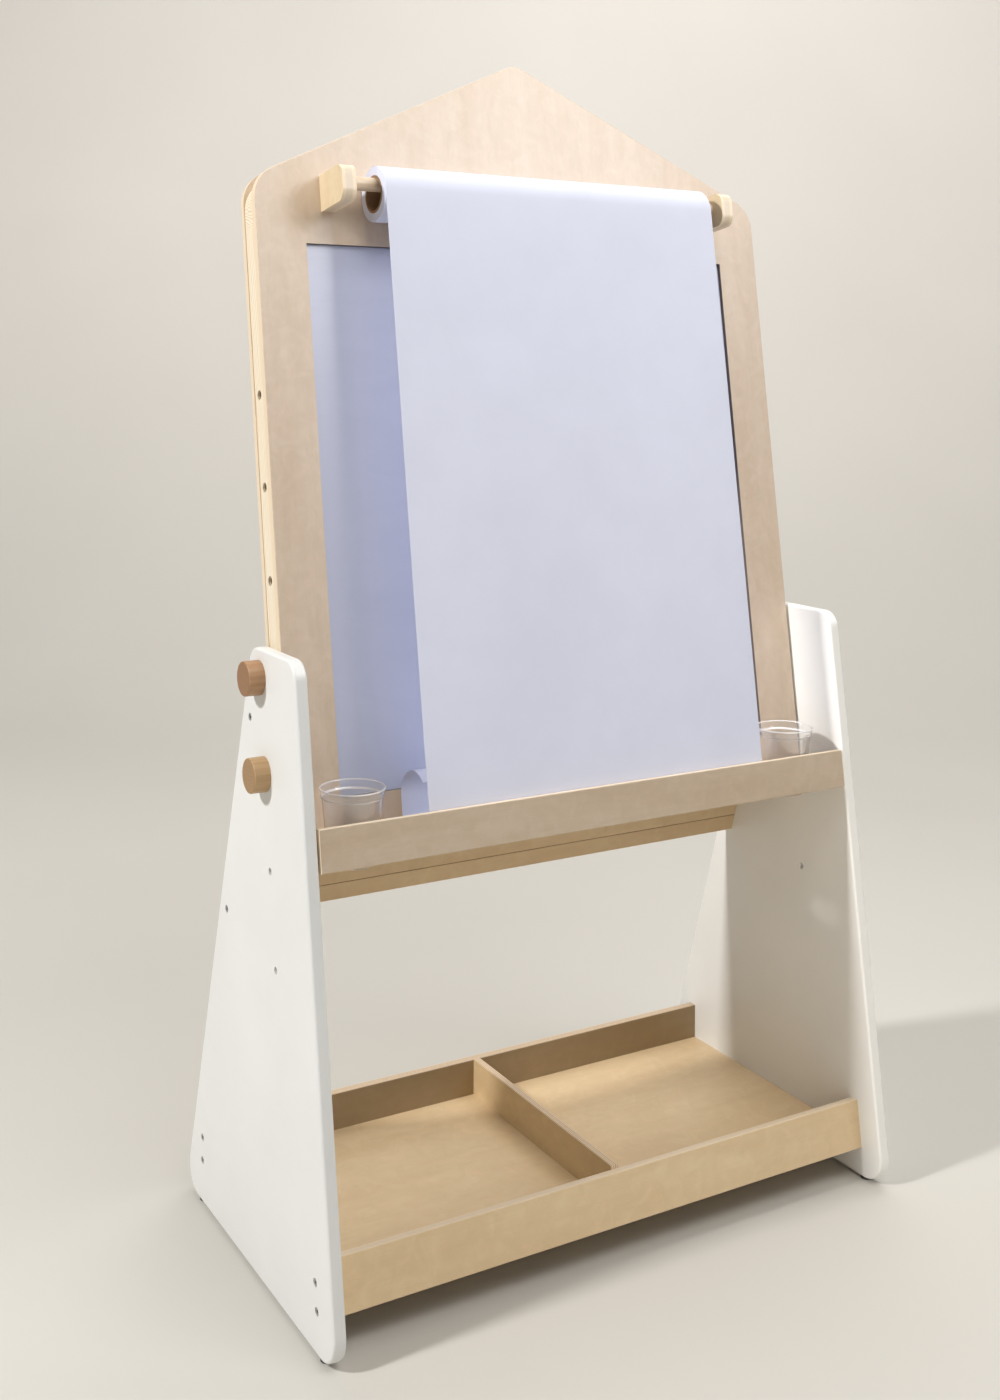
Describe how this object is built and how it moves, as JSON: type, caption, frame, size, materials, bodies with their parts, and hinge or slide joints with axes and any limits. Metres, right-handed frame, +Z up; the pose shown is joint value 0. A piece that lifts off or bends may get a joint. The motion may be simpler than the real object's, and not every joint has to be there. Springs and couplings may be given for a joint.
{
  "type": "kids easel",
  "caption": "A-frame children's easel: white side panels, low divided shelf, house-shaped two-sided board set at several heights, paper roll on a dowel, pen tray with clear cups.",
  "frame": {"origin": "on the floor, in the middle of the stand's footprint", "axes": "+X to the right seen from the front, +Y from front to back, +Z up; the whiteboard and the paper face -Y"},
  "size_m": [0.779, 0.423, 1.3694],
  "materials": {
    "white_lacquer": "white satin lacquer on smooth board",
    "birch_ply": "clear matt lacquered birch plywood",
    "pine": "bare planed pine",
    "beech": "oiled turned beech",
    "whiteboard": "smooth satin writing surface",
    "chalkboard": "matt black writing surface",
    "hardboard": "brown hardboard",
    "paper": "plain white drawing paper",
    "cardboard": "wound brown board",
    "steel": "zinc plated",
    "brass": "turned brass",
    "clear_plastic": "clear moulded plastic",
    "glide_plastic": "dark moulded plastic"
  },
  "bodies": {
    "stand": {"left_side_panel": "white_lacquer", "right_side_panel": "white_lacquer", "foot_glides": "glide_plastic", "shelf_floor": "birch_ply", "shelf_front_rail": "birch_ply", "shelf_rear_rail": "birch_ply", "shelf_divider": "birch_ply", "shelf_screws": "steel", "rear_lower_rail": "birch_ply", "rear_upper_rail": "birch_ply", "rear_panel": "birch_ply", "rear_rail_screws": "steel"},
    "board": {"board_front_frame": "birch_ply", "board_back_frame": "birch_ply", "core_stile_left": "pine", "core_stile_right": "pine", "core_bottom_rail": "pine", "core_gable": "pine", "inserts_left": "brass", "inserts_right": "brass", "whiteboard": "whiteboard", "whiteboard_backing": "hardboard", "chalkboard": "chalkboard", "tray_front_rail": "birch_ply", "tray_floor": "birch_ply", "tray_screws": "steel", "roll_holder_left": "birch_ply", "roll_holder_right": "birch_ply", "holder_screws": "steel", "paper_sheet": "paper", "paper_loop": "paper"},
    "dowel": {"roll_dowel": "beech"},
    "roll": {"roll_core": "cardboard", "paper_roll": "paper"},
    "left_cup": {"cup_left": "clear_plastic"},
    "right_cup": {"cup_right": "clear_plastic"},
    "left_upper_knob": {"knob_left_upper": "beech", "stud_left_upper": "steel"},
    "left_lower_knob": {"knob_left_lower": "beech", "stud_left_lower": "steel"},
    "right_upper_knob": {"knob_right_upper": "beech", "stud_right_upper": "steel"},
    "right_lower_knob": {"knob_right_lower": "beech", "stud_right_lower": "steel"}
  },
  "joints": [
    {"name": "board_height", "type": "slide", "parent": "stand", "child": "board", "axis": [0, 0.1599, 0.9871], "range_m": [-0.3081, 0]},
    {"name": "dowel_release", "type": "slide", "parent": "board", "child": "dowel", "axis": [1, 0, 0], "range_m": [-0.0068, 0]},
    {"name": "roll_spin", "type": "hinge", "parent": "dowel", "child": "roll", "pos_m": [0.0065, 0.02039, 1.1938], "axis": [1, 0, 0], "continuous": true},
    {"name": "left_cup_lift", "type": "slide", "parent": "board", "child": "left_cup", "axis": [0, 0, 1], "range_m": [0, 0.08]},
    {"name": "right_cup_lift", "type": "slide", "parent": "board", "child": "right_cup", "axis": [0, 0, 1], "range_m": [0, 0.08]},
    {"name": "left_upper_knob_turn", "type": "hinge", "parent": "stand", "child": "left_upper_knob", "pos_m": [-0.371, -0.01122, 0.66157], "axis": [-1, 0, 0], "continuous": true},
    {"name": "left_lower_knob_turn", "type": "hinge", "parent": "stand", "child": "left_lower_knob", "pos_m": [-0.371, -0.02764, 0.56019], "axis": [-1, 0, 0], "continuous": true},
    {"name": "right_upper_knob_turn", "type": "hinge", "parent": "stand", "child": "right_upper_knob", "pos_m": [0.371, -0.01122, 0.66157], "axis": [1, 0, 0], "continuous": true},
    {"name": "right_lower_knob_turn", "type": "hinge", "parent": "stand", "child": "right_lower_knob", "pos_m": [0.371, -0.02764, 0.56019], "axis": [1, 0, 0], "continuous": true}
  ]
}
